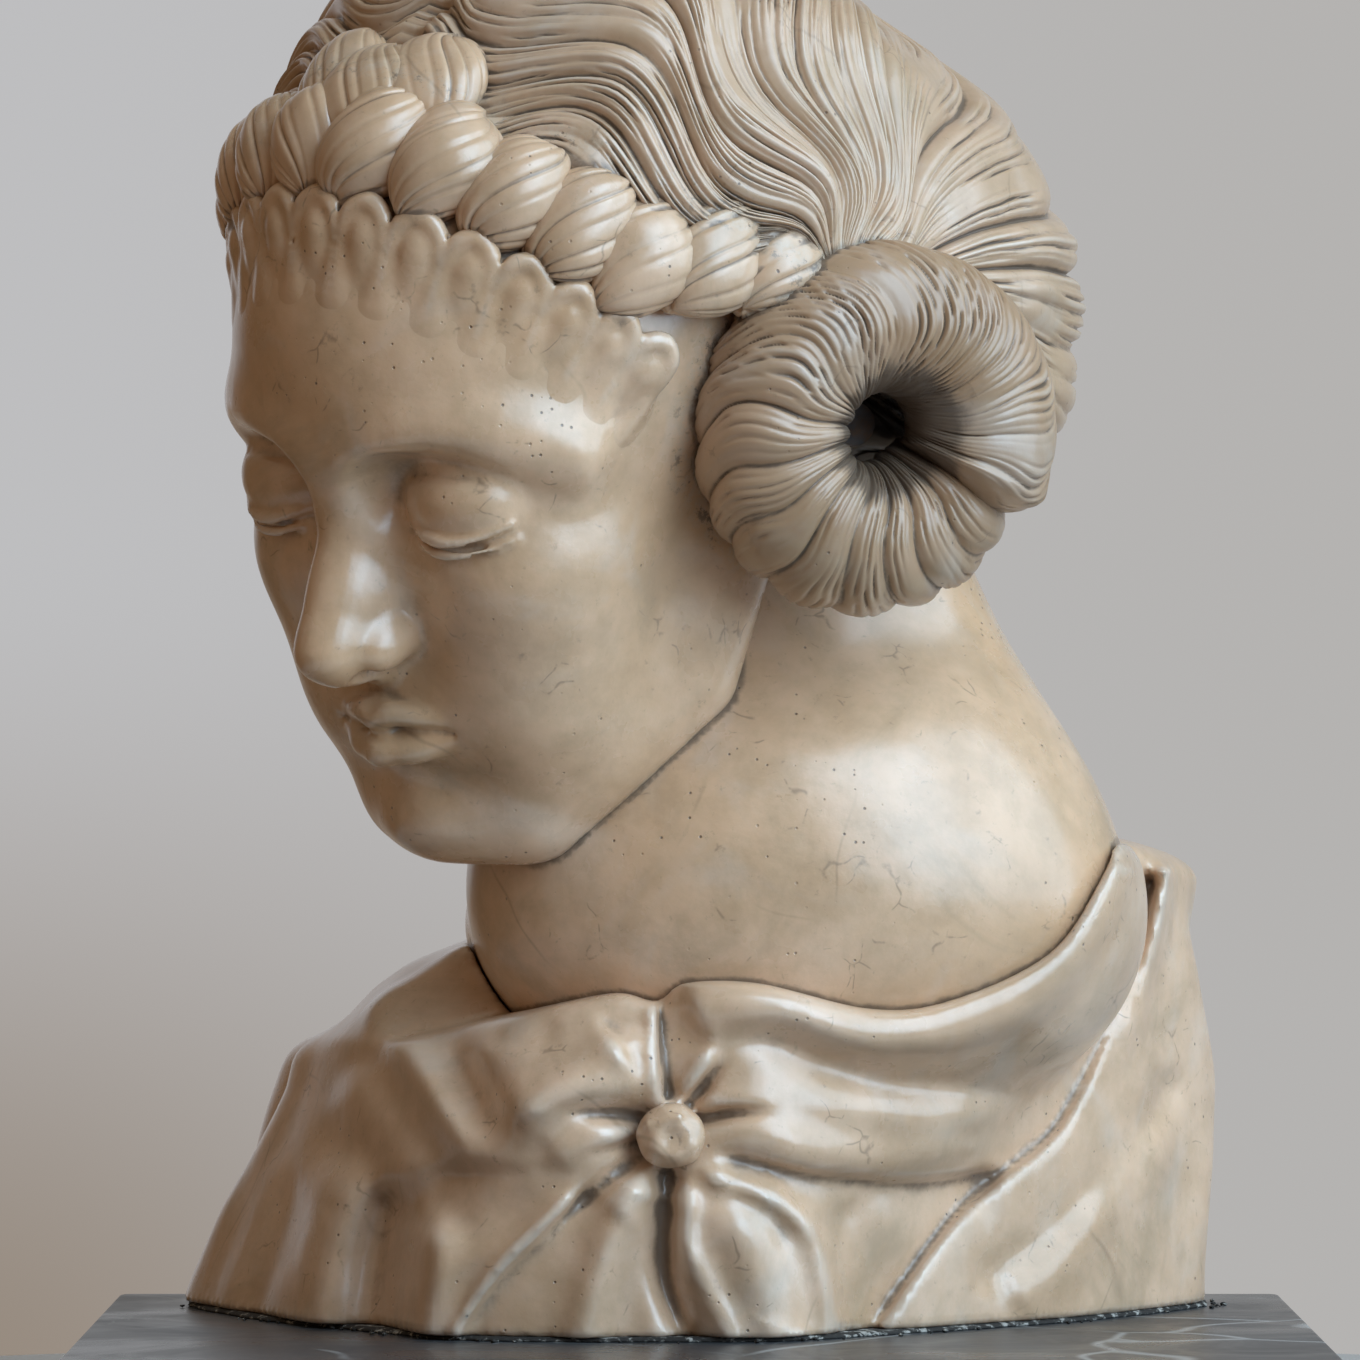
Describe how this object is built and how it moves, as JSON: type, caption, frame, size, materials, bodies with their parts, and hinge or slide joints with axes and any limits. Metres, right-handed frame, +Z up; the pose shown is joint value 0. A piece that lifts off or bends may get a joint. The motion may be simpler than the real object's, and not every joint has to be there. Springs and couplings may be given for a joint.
{
  "type": "marble bust",
  "caption": "Life-size carved ivory marble bust with draped shoulders and coiled hair, set on a dark marble plinth.",
  "frame": {"origin": "centre of the plinth's footprint, on the plane of the felt pads' undersides", "axes": "+Z up; -Y is the side of the near shoulder and the clasp; +X towards the back of the figure"},
  "size_m": [0.34, 0.268, 0.4387],
  "materials": {
    "ivory_marble": "polished",
    "carved_hair": "satin",
    "dark_marble": "polished",
    "mastic": "matte",
    "iron": "rough",
    "steel": "satin",
    "felt": "matte"
  },
  "bodies": {
    "root": {"plinth_slab": "dark_marble", "mastic_bed": "mastic", "drapery": "ivory_marble", "shoulders": "ivory_marble", "clasp_button": "ivory_marble", "head": "ivory_marble", "hair": "carved_hair", "plait_band": "carved_hair", "hairline_curls": "carved_hair", "coil_left": "carved_hair", "coil_right": "carved_hair", "coil_pin_left": "iron", "coil_pin_right": "iron", "neck_dowel": "steel", "threaded_rod": "steel", "rod_washer": "steel", "rod_nut": "steel", "felt_pad_1": "felt", "felt_pad_2": "felt", "felt_pad_3": "felt", "felt_pad_4": "felt"}
  },
  "joints": []
}
